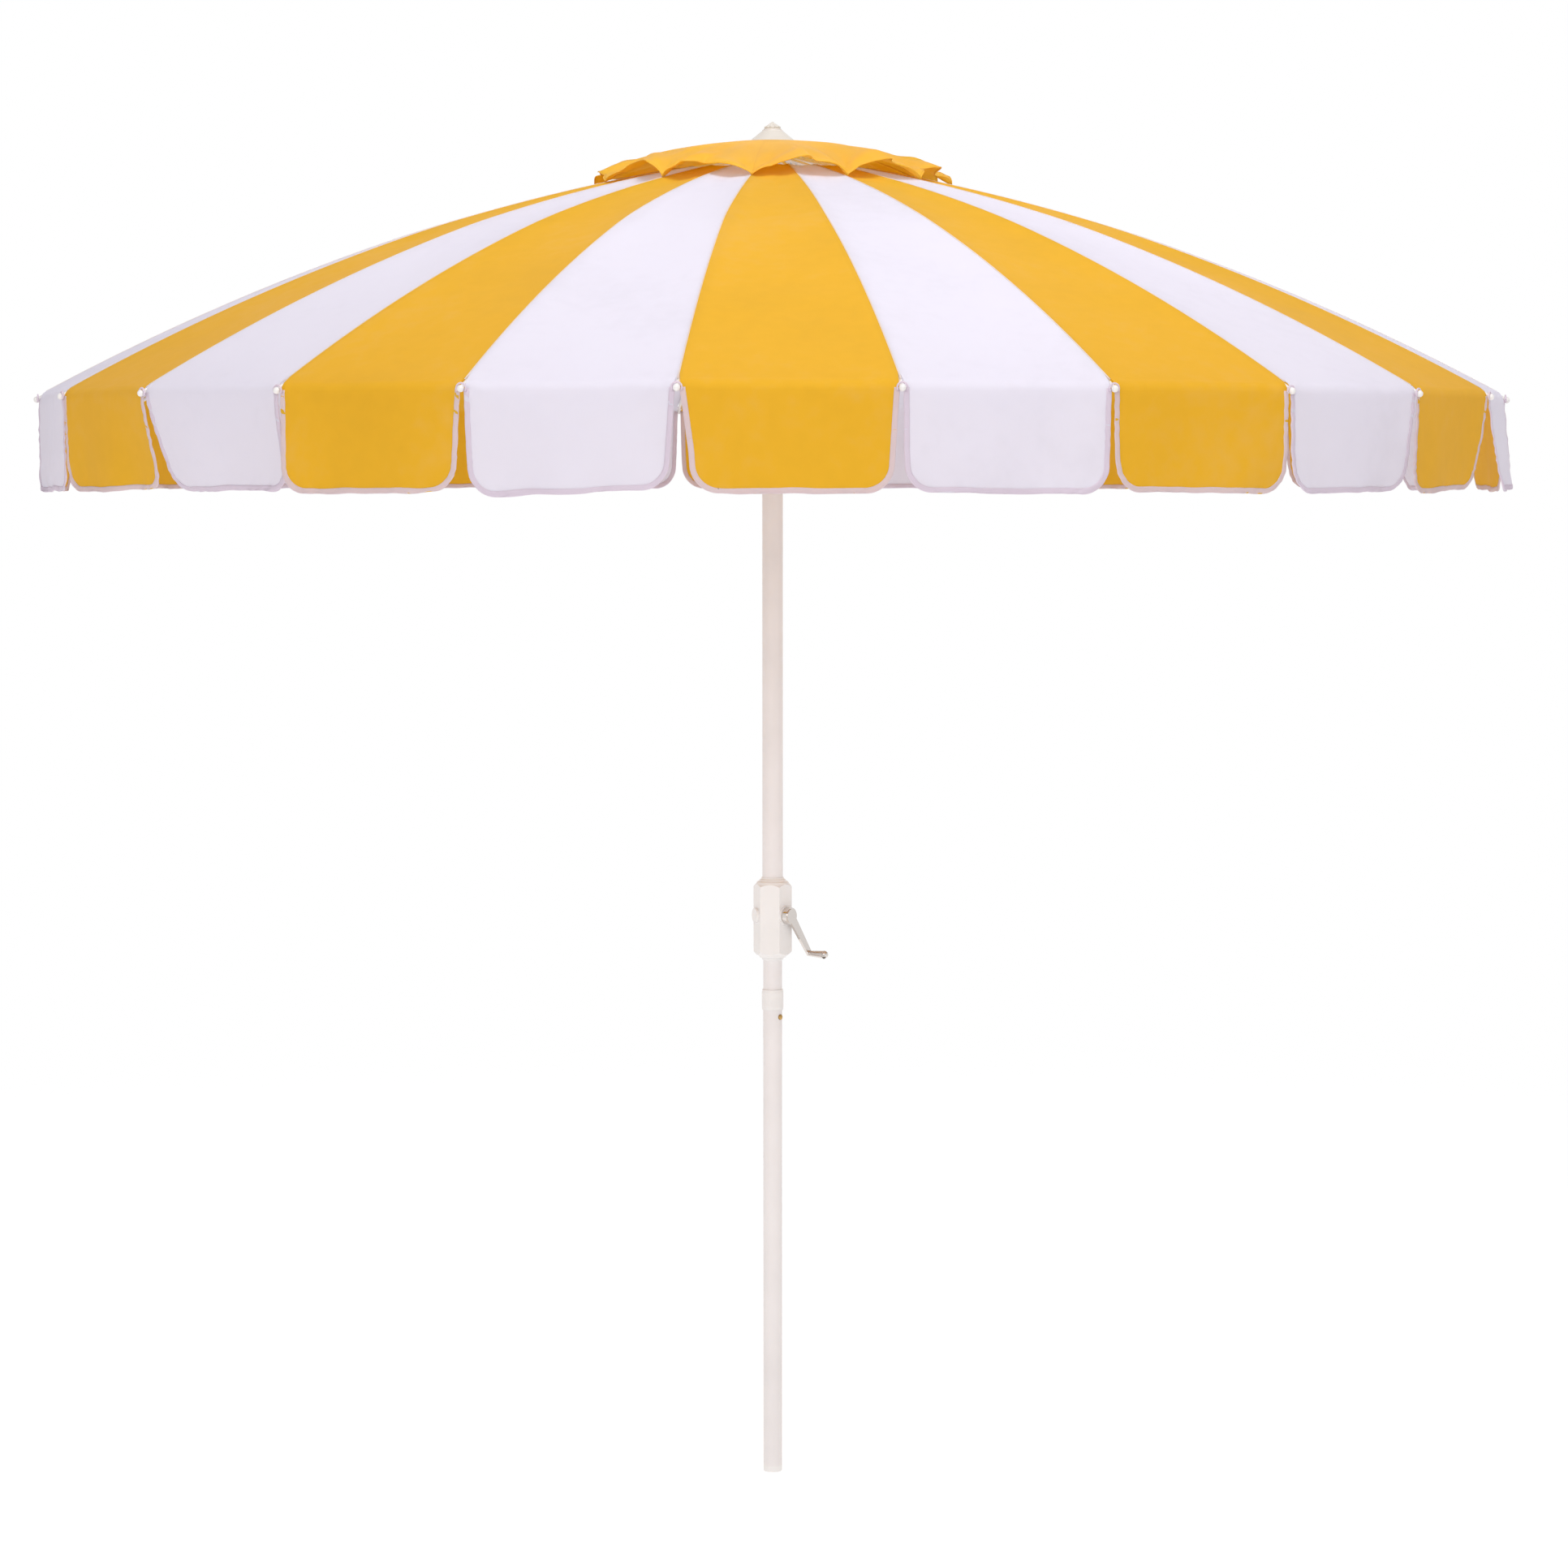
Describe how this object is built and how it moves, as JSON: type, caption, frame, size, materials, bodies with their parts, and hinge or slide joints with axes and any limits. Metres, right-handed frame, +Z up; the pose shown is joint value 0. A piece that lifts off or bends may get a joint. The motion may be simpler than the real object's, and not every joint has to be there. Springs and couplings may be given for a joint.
{
  "type": "crank parasol",
  "caption": "Round vented parasol with alternating colour panels, hanging flaps, a two-part centre pole and a crank that folds the ribs.",
  "frame": {"origin": "middle of the pole's foot, at its lowest point", "axes": "+Z up along the pole, -Y towards the front panel"},
  "size_m": [2.6622, 2.6622, 2.5057],
  "materials": {
    "white_pole": "white powder coat, satin",
    "white_rib": "white powder coat, satin",
    "white_plastic": "moulded white plastic",
    "plated_metal": "bright nickel plate",
    "brass": "bright",
    "canopy_fabric": "woven polyester, yellow and white panels"
  },
  "bodies": {
    "lower_pole": {"lower_pole": "white_pole", "lower_pole_fittings": "white_plastic"},
    "upper_pole": {"upper_pole": "white_pole", "connector_tube": "white_pole", "crown_hub": "white_plastic", "finial": "white_plastic", "crank_housing": "white_plastic", "canopy": "canopy_fabric"},
    "crank": {"crank_handle": "plated_metal"},
    "crank_knob": {"crank_knob": "plated_metal"},
    "snap_button": {"snap_button": "brass"},
    "runner": {"runner": "white_plastic"},
    "rib_01": {"rib_01": "white_rib"},
    "stretcher_01": {"stretcher_01": "white_rib"},
    "rib_02": {"rib_02": "white_rib"},
    "stretcher_02": {"stretcher_02": "white_rib"},
    "rib_03": {"rib_03": "white_rib"},
    "stretcher_03": {"stretcher_03": "white_rib"},
    "rib_04": {"rib_04": "white_rib"},
    "stretcher_04": {"stretcher_04": "white_rib"},
    "rib_05": {"rib_05": "white_rib"},
    "stretcher_05": {"stretcher_05": "white_rib"},
    "rib_06": {"rib_06": "white_rib"},
    "stretcher_06": {"stretcher_06": "white_rib"},
    "rib_07": {"rib_07": "white_rib"},
    "stretcher_07": {"stretcher_07": "white_rib"},
    "rib_08": {"rib_08": "white_rib"},
    "stretcher_08": {"stretcher_08": "white_rib"},
    "rib_09": {"rib_09": "white_rib"},
    "stretcher_09": {"stretcher_09": "white_rib"},
    "rib_10": {"rib_10": "white_rib"},
    "stretcher_10": {"stretcher_10": "white_rib"},
    "rib_11": {"rib_11": "white_rib"},
    "stretcher_11": {"stretcher_11": "white_rib"},
    "rib_12": {"rib_12": "white_rib"},
    "stretcher_12": {"stretcher_12": "white_rib"},
    "rib_13": {"rib_13": "white_rib"},
    "stretcher_13": {"stretcher_13": "white_rib"},
    "rib_14": {"rib_14": "white_rib"},
    "stretcher_14": {"stretcher_14": "white_rib"},
    "rib_15": {"rib_15": "white_rib"},
    "stretcher_15": {"stretcher_15": "white_rib"},
    "rib_16": {"rib_16": "white_rib"},
    "stretcher_16": {"stretcher_16": "white_rib"},
    "rib_17": {"rib_17": "white_rib"},
    "stretcher_17": {"stretcher_17": "white_rib"},
    "rib_18": {"rib_18": "white_rib"},
    "stretcher_18": {"stretcher_18": "white_rib"},
    "rib_19": {"rib_19": "white_rib"},
    "stretcher_19": {"stretcher_19": "white_rib"},
    "rib_20": {"rib_20": "white_rib"},
    "stretcher_20": {"stretcher_20": "white_rib"},
    "rib_21": {"rib_21": "white_rib"},
    "stretcher_21": {"stretcher_21": "white_rib"},
    "rib_22": {"rib_22": "white_rib"},
    "stretcher_22": {"stretcher_22": "white_rib"},
    "rib_23": {"rib_23": "white_rib"},
    "stretcher_23": {"stretcher_23": "white_rib"},
    "rib_24": {"rib_24": "white_rib"},
    "stretcher_24": {"stretcher_24": "white_rib"}
  },
  "joints": [
    {"name": "pole_pull", "type": "slide", "parent": "lower_pole", "child": "upper_pole", "axis": [0, 0, 1], "range_m": [0, 0.15], "deforming": ["snap_button"]},
    {"name": "snap_button_press", "type": "slide", "parent": "upper_pole", "child": "snap_button", "axis": [-0.788, 0.6157, 0], "range_m": [0, 0.004], "stiffness_N_per_m": 800, "springref_m": -0.002},
    {"name": "canopy_fold", "type": "hinge", "parent": "upper_pole", "child": "rib_01", "pos_m": [0.00648, -0.04554, 2.43693], "axis": [0.99, 0.1409, 0], "range_deg": [0, 64], "deforming": ["canopy"]},
    {"name": "stretcher_01_pivot", "type": "hinge", "parent": "rib_01", "child": "stretcher_01", "pos_m": [0.09153, -0.64316, 2.27331], "axis": [0.99, 0.1409, 0], "range_deg": [-130, 0]},
    {"name": "rib_02_fold", "type": "hinge", "parent": "upper_pole", "child": "rib_02", "pos_m": [0.01805, -0.04231, 2.43693], "axis": [0.9198, 0.3923, 0], "range_deg": [0, 65]},
    {"name": "stretcher_02_pivot", "type": "hinge", "parent": "rib_02", "child": "stretcher_02", "pos_m": [0.25488, -0.59755, 2.27331], "axis": [0.9198, 0.3923, 0], "range_deg": [-130, 0]},
    {"name": "rib_03_fold", "type": "hinge", "parent": "upper_pole", "child": "rib_03", "pos_m": [0.02838, -0.0362, 2.43693], "axis": [0.7869, 0.617, 0], "range_deg": [0, 65]},
    {"name": "stretcher_03_pivot", "type": "hinge", "parent": "rib_03", "child": "stretcher_03", "pos_m": [0.40085, -0.51122, 2.27331], "axis": [0.7869, 0.617, 0], "range_deg": [-130, 0]},
    {"name": "rib_04_fold", "type": "hinge", "parent": "upper_pole", "child": "rib_04", "pos_m": [0.03679, -0.02762, 2.43693], "axis": [0.6004, 0.7997, 0], "range_deg": [0, 65]},
    {"name": "stretcher_04_pivot", "type": "hinge", "parent": "rib_04", "child": "stretcher_04", "pos_m": [0.51951, -0.39006, 2.27331], "axis": [0.6004, 0.7997, 0], "range_deg": [-130, 0]},
    {"name": "rib_05_fold", "type": "hinge", "parent": "upper_pole", "child": "rib_05", "pos_m": [0.04268, -0.01716, 2.43693], "axis": [0.373, 0.9278, 0], "range_deg": [0, 65]},
    {"name": "stretcher_05_pivot", "type": "hinge", "parent": "rib_05", "child": "stretcher_05", "pos_m": [0.60276, -0.24231, 2.27331], "axis": [0.373, 0.9278, 0], "range_deg": [-130, 0]},
    {"name": "rib_06_fold", "type": "hinge", "parent": "upper_pole", "child": "rib_06", "pos_m": [0.04567, -0.00553, 2.43693], "axis": [0.1201, 0.9928, 0], "range_deg": [0, 65]},
    {"name": "stretcher_06_pivot", "type": "hinge", "parent": "rib_06", "child": "stretcher_06", "pos_m": [0.64493, -0.07805, 2.27331], "axis": [0.1201, 0.9928, 0], "range_deg": [-130, 0]},
    {"name": "rib_07_fold", "type": "hinge", "parent": "upper_pole", "child": "rib_07", "pos_m": [0.04554, 0.00648, 2.43693], "axis": [-0.1409, 0.99, 0], "range_deg": [0, 65]},
    {"name": "stretcher_07_pivot", "type": "hinge", "parent": "rib_07", "child": "stretcher_07", "pos_m": [0.64316, 0.09153, 2.27331], "axis": [-0.1409, 0.99, 0], "range_deg": [-130, 0]},
    {"name": "rib_08_fold", "type": "hinge", "parent": "upper_pole", "child": "rib_08", "pos_m": [0.04231, 0.01805, 2.43693], "axis": [-0.3923, 0.9198, 0], "range_deg": [0, 65]},
    {"name": "stretcher_08_pivot", "type": "hinge", "parent": "rib_08", "child": "stretcher_08", "pos_m": [0.59755, 0.25488, 2.27331], "axis": [-0.3923, 0.9198, 0], "range_deg": [-130, 0]},
    {"name": "rib_09_fold", "type": "hinge", "parent": "upper_pole", "child": "rib_09", "pos_m": [0.0362, 0.02838, 2.43693], "axis": [-0.617, 0.7869, 0], "range_deg": [0, 65]},
    {"name": "stretcher_09_pivot", "type": "hinge", "parent": "rib_09", "child": "stretcher_09", "pos_m": [0.51122, 0.40085, 2.27331], "axis": [-0.617, 0.7869, 0], "range_deg": [-130, 0]},
    {"name": "rib_10_fold", "type": "hinge", "parent": "upper_pole", "child": "rib_10", "pos_m": [0.02762, 0.03679, 2.43693], "axis": [-0.7997, 0.6004, 0], "range_deg": [0, 65]},
    {"name": "stretcher_10_pivot", "type": "hinge", "parent": "rib_10", "child": "stretcher_10", "pos_m": [0.39006, 0.51951, 2.27331], "axis": [-0.7997, 0.6004, 0], "range_deg": [-130, 0]},
    {"name": "rib_11_fold", "type": "hinge", "parent": "upper_pole", "child": "rib_11", "pos_m": [0.01716, 0.04268, 2.43693], "axis": [-0.9278, 0.373, 0], "range_deg": [0, 65]},
    {"name": "stretcher_11_pivot", "type": "hinge", "parent": "rib_11", "child": "stretcher_11", "pos_m": [0.24231, 0.60276, 2.27331], "axis": [-0.9278, 0.373, 0], "range_deg": [-130, 0]},
    {"name": "rib_12_fold", "type": "hinge", "parent": "upper_pole", "child": "rib_12", "pos_m": [0.00553, 0.04567, 2.43693], "axis": [-0.9928, 0.1201, 0], "range_deg": [0, 65]},
    {"name": "stretcher_12_pivot", "type": "hinge", "parent": "rib_12", "child": "stretcher_12", "pos_m": [0.07805, 0.64493, 2.27331], "axis": [-0.9928, 0.1201, 0], "range_deg": [-130, 0]},
    {"name": "rib_13_fold", "type": "hinge", "parent": "upper_pole", "child": "rib_13", "pos_m": [-0.00648, 0.04554, 2.43693], "axis": [-0.99, -0.1409, 0], "range_deg": [0, 65]},
    {"name": "stretcher_13_pivot", "type": "hinge", "parent": "rib_13", "child": "stretcher_13", "pos_m": [-0.09153, 0.64316, 2.27331], "axis": [-0.99, -0.1409, 0], "range_deg": [-130, 0]},
    {"name": "rib_14_fold", "type": "hinge", "parent": "upper_pole", "child": "rib_14", "pos_m": [-0.01805, 0.04231, 2.43693], "axis": [-0.9198, -0.3923, 0], "range_deg": [0, 65]},
    {"name": "stretcher_14_pivot", "type": "hinge", "parent": "rib_14", "child": "stretcher_14", "pos_m": [-0.25488, 0.59755, 2.27331], "axis": [-0.9198, -0.3923, 0], "range_deg": [-130, 0]},
    {"name": "rib_15_fold", "type": "hinge", "parent": "upper_pole", "child": "rib_15", "pos_m": [-0.02838, 0.0362, 2.43693], "axis": [-0.7869, -0.617, 0], "range_deg": [0, 65]},
    {"name": "stretcher_15_pivot", "type": "hinge", "parent": "rib_15", "child": "stretcher_15", "pos_m": [-0.40085, 0.51122, 2.27331], "axis": [-0.7869, -0.617, 0], "range_deg": [-130, 0]},
    {"name": "rib_16_fold", "type": "hinge", "parent": "upper_pole", "child": "rib_16", "pos_m": [-0.03679, 0.02762, 2.43693], "axis": [-0.6004, -0.7997, 0], "range_deg": [0, 65]},
    {"name": "stretcher_16_pivot", "type": "hinge", "parent": "rib_16", "child": "stretcher_16", "pos_m": [-0.51951, 0.39006, 2.27331], "axis": [-0.6004, -0.7997, 0], "range_deg": [-130, 0]},
    {"name": "rib_17_fold", "type": "hinge", "parent": "upper_pole", "child": "rib_17", "pos_m": [-0.04268, 0.01716, 2.43693], "axis": [-0.373, -0.9278, 0], "range_deg": [0, 65]},
    {"name": "stretcher_17_pivot", "type": "hinge", "parent": "rib_17", "child": "stretcher_17", "pos_m": [-0.60276, 0.24231, 2.27331], "axis": [-0.373, -0.9278, 0], "range_deg": [-130, 0]},
    {"name": "rib_18_fold", "type": "hinge", "parent": "upper_pole", "child": "rib_18", "pos_m": [-0.04567, 0.00553, 2.43693], "axis": [-0.1201, -0.9928, 0], "range_deg": [0, 65]},
    {"name": "stretcher_18_pivot", "type": "hinge", "parent": "rib_18", "child": "stretcher_18", "pos_m": [-0.64493, 0.07805, 2.27331], "axis": [-0.1201, -0.9928, 0], "range_deg": [-130, 0]},
    {"name": "rib_19_fold", "type": "hinge", "parent": "upper_pole", "child": "rib_19", "pos_m": [-0.04554, -0.00648, 2.43693], "axis": [0.1409, -0.99, 0], "range_deg": [0, 65]},
    {"name": "stretcher_19_pivot", "type": "hinge", "parent": "rib_19", "child": "stretcher_19", "pos_m": [-0.64316, -0.09153, 2.27331], "axis": [0.1409, -0.99, 0], "range_deg": [-130, 0]},
    {"name": "rib_20_fold", "type": "hinge", "parent": "upper_pole", "child": "rib_20", "pos_m": [-0.04231, -0.01805, 2.43693], "axis": [0.3923, -0.9198, 0], "range_deg": [0, 65]},
    {"name": "stretcher_20_pivot", "type": "hinge", "parent": "rib_20", "child": "stretcher_20", "pos_m": [-0.59755, -0.25488, 2.27331], "axis": [0.3923, -0.9198, 0], "range_deg": [-130, 0]},
    {"name": "rib_21_fold", "type": "hinge", "parent": "upper_pole", "child": "rib_21", "pos_m": [-0.0362, -0.02838, 2.43693], "axis": [0.617, -0.7869, 0], "range_deg": [0, 65]},
    {"name": "stretcher_21_pivot", "type": "hinge", "parent": "rib_21", "child": "stretcher_21", "pos_m": [-0.51122, -0.40085, 2.27331], "axis": [0.617, -0.7869, 0], "range_deg": [-130, 0]},
    {"name": "rib_22_fold", "type": "hinge", "parent": "upper_pole", "child": "rib_22", "pos_m": [-0.02762, -0.03679, 2.43693], "axis": [0.7997, -0.6004, 0], "range_deg": [0, 65]},
    {"name": "stretcher_22_pivot", "type": "hinge", "parent": "rib_22", "child": "stretcher_22", "pos_m": [-0.39006, -0.51951, 2.27331], "axis": [0.7997, -0.6004, 0], "range_deg": [-130, 0]},
    {"name": "rib_23_fold", "type": "hinge", "parent": "upper_pole", "child": "rib_23", "pos_m": [-0.01716, -0.04268, 2.43693], "axis": [0.9278, -0.373, 0], "range_deg": [0, 65]},
    {"name": "stretcher_23_pivot", "type": "hinge", "parent": "rib_23", "child": "stretcher_23", "pos_m": [-0.24231, -0.60276, 2.27331], "axis": [0.9278, -0.373, 0], "range_deg": [-130, 0]},
    {"name": "rib_24_fold", "type": "hinge", "parent": "upper_pole", "child": "rib_24", "pos_m": [-0.00553, -0.04567, 2.43693], "axis": [0.9928, -0.1201, 0], "range_deg": [0, 65]},
    {"name": "stretcher_24_pivot", "type": "hinge", "parent": "rib_24", "child": "stretcher_24", "pos_m": [-0.07805, -0.64493, 2.27331], "axis": [0.9928, -0.1201, 0], "range_deg": [-130, 0]},
    {"name": "runner_pivot", "type": "hinge", "parent": "stretcher_01", "child": "runner", "pos_m": [0.00648, -0.04554, 2.10969], "axis": [0.99, 0.1409, 0], "range_deg": [0, 65]},
    {"name": "crank_turn", "type": "hinge", "parent": "upper_pole", "child": "crank", "pos_m": [0, 0, 1.046], "axis": [0.766, -0.6428, 0], "range_deg": [0, 4380]},
    {"name": "crank_knob_spin", "type": "hinge", "parent": "crank", "child": "crank_knob", "pos_m": [0.03518, 0.04192, 0.97205], "axis": [0.766, -0.6428, 0], "continuous": true}
  ],
  "couplings": [
    {"joint": "stretcher_01_pivot", "follows": "canopy_fold", "ratio": -2},
    {"joint": "rib_02_fold", "follows": "canopy_fold", "ratio": 1},
    {"joint": "stretcher_02_pivot", "follows": "canopy_fold", "ratio": -2},
    {"joint": "rib_03_fold", "follows": "canopy_fold", "ratio": 1},
    {"joint": "stretcher_03_pivot", "follows": "canopy_fold", "ratio": -2},
    {"joint": "rib_04_fold", "follows": "canopy_fold", "ratio": 1},
    {"joint": "stretcher_04_pivot", "follows": "canopy_fold", "ratio": -2},
    {"joint": "rib_05_fold", "follows": "canopy_fold", "ratio": 1},
    {"joint": "stretcher_05_pivot", "follows": "canopy_fold", "ratio": -2},
    {"joint": "rib_06_fold", "follows": "canopy_fold", "ratio": 1},
    {"joint": "stretcher_06_pivot", "follows": "canopy_fold", "ratio": -2},
    {"joint": "rib_07_fold", "follows": "canopy_fold", "ratio": 1},
    {"joint": "stretcher_07_pivot", "follows": "canopy_fold", "ratio": -2},
    {"joint": "rib_08_fold", "follows": "canopy_fold", "ratio": 1},
    {"joint": "stretcher_08_pivot", "follows": "canopy_fold", "ratio": -2},
    {"joint": "rib_09_fold", "follows": "canopy_fold", "ratio": 1},
    {"joint": "stretcher_09_pivot", "follows": "canopy_fold", "ratio": -2},
    {"joint": "rib_10_fold", "follows": "canopy_fold", "ratio": 1},
    {"joint": "stretcher_10_pivot", "follows": "canopy_fold", "ratio": -2},
    {"joint": "rib_11_fold", "follows": "canopy_fold", "ratio": 1},
    {"joint": "stretcher_11_pivot", "follows": "canopy_fold", "ratio": -2},
    {"joint": "rib_12_fold", "follows": "canopy_fold", "ratio": 1},
    {"joint": "stretcher_12_pivot", "follows": "canopy_fold", "ratio": -2},
    {"joint": "rib_13_fold", "follows": "canopy_fold", "ratio": 1},
    {"joint": "stretcher_13_pivot", "follows": "canopy_fold", "ratio": -2},
    {"joint": "rib_14_fold", "follows": "canopy_fold", "ratio": 1},
    {"joint": "stretcher_14_pivot", "follows": "canopy_fold", "ratio": -2},
    {"joint": "rib_15_fold", "follows": "canopy_fold", "ratio": 1},
    {"joint": "stretcher_15_pivot", "follows": "canopy_fold", "ratio": -2},
    {"joint": "rib_16_fold", "follows": "canopy_fold", "ratio": 1},
    {"joint": "stretcher_16_pivot", "follows": "canopy_fold", "ratio": -2},
    {"joint": "rib_17_fold", "follows": "canopy_fold", "ratio": 1},
    {"joint": "stretcher_17_pivot", "follows": "canopy_fold", "ratio": -2},
    {"joint": "rib_18_fold", "follows": "canopy_fold", "ratio": 1},
    {"joint": "stretcher_18_pivot", "follows": "canopy_fold", "ratio": -2},
    {"joint": "rib_19_fold", "follows": "canopy_fold", "ratio": 1},
    {"joint": "stretcher_19_pivot", "follows": "canopy_fold", "ratio": -2},
    {"joint": "rib_20_fold", "follows": "canopy_fold", "ratio": 1},
    {"joint": "stretcher_20_pivot", "follows": "canopy_fold", "ratio": -2},
    {"joint": "rib_21_fold", "follows": "canopy_fold", "ratio": 1},
    {"joint": "stretcher_21_pivot", "follows": "canopy_fold", "ratio": -2},
    {"joint": "rib_22_fold", "follows": "canopy_fold", "ratio": 1},
    {"joint": "stretcher_22_pivot", "follows": "canopy_fold", "ratio": -2},
    {"joint": "rib_23_fold", "follows": "canopy_fold", "ratio": 1},
    {"joint": "stretcher_23_pivot", "follows": "canopy_fold", "ratio": -2},
    {"joint": "rib_24_fold", "follows": "canopy_fold", "ratio": 1},
    {"joint": "stretcher_24_pivot", "follows": "canopy_fold", "ratio": -2},
    {"joint": "runner_pivot", "follows": "canopy_fold", "ratio": 1},
    {"joint": "crank_turn", "follows": "canopy_fold", "ratio": 67.5}
  ]
}
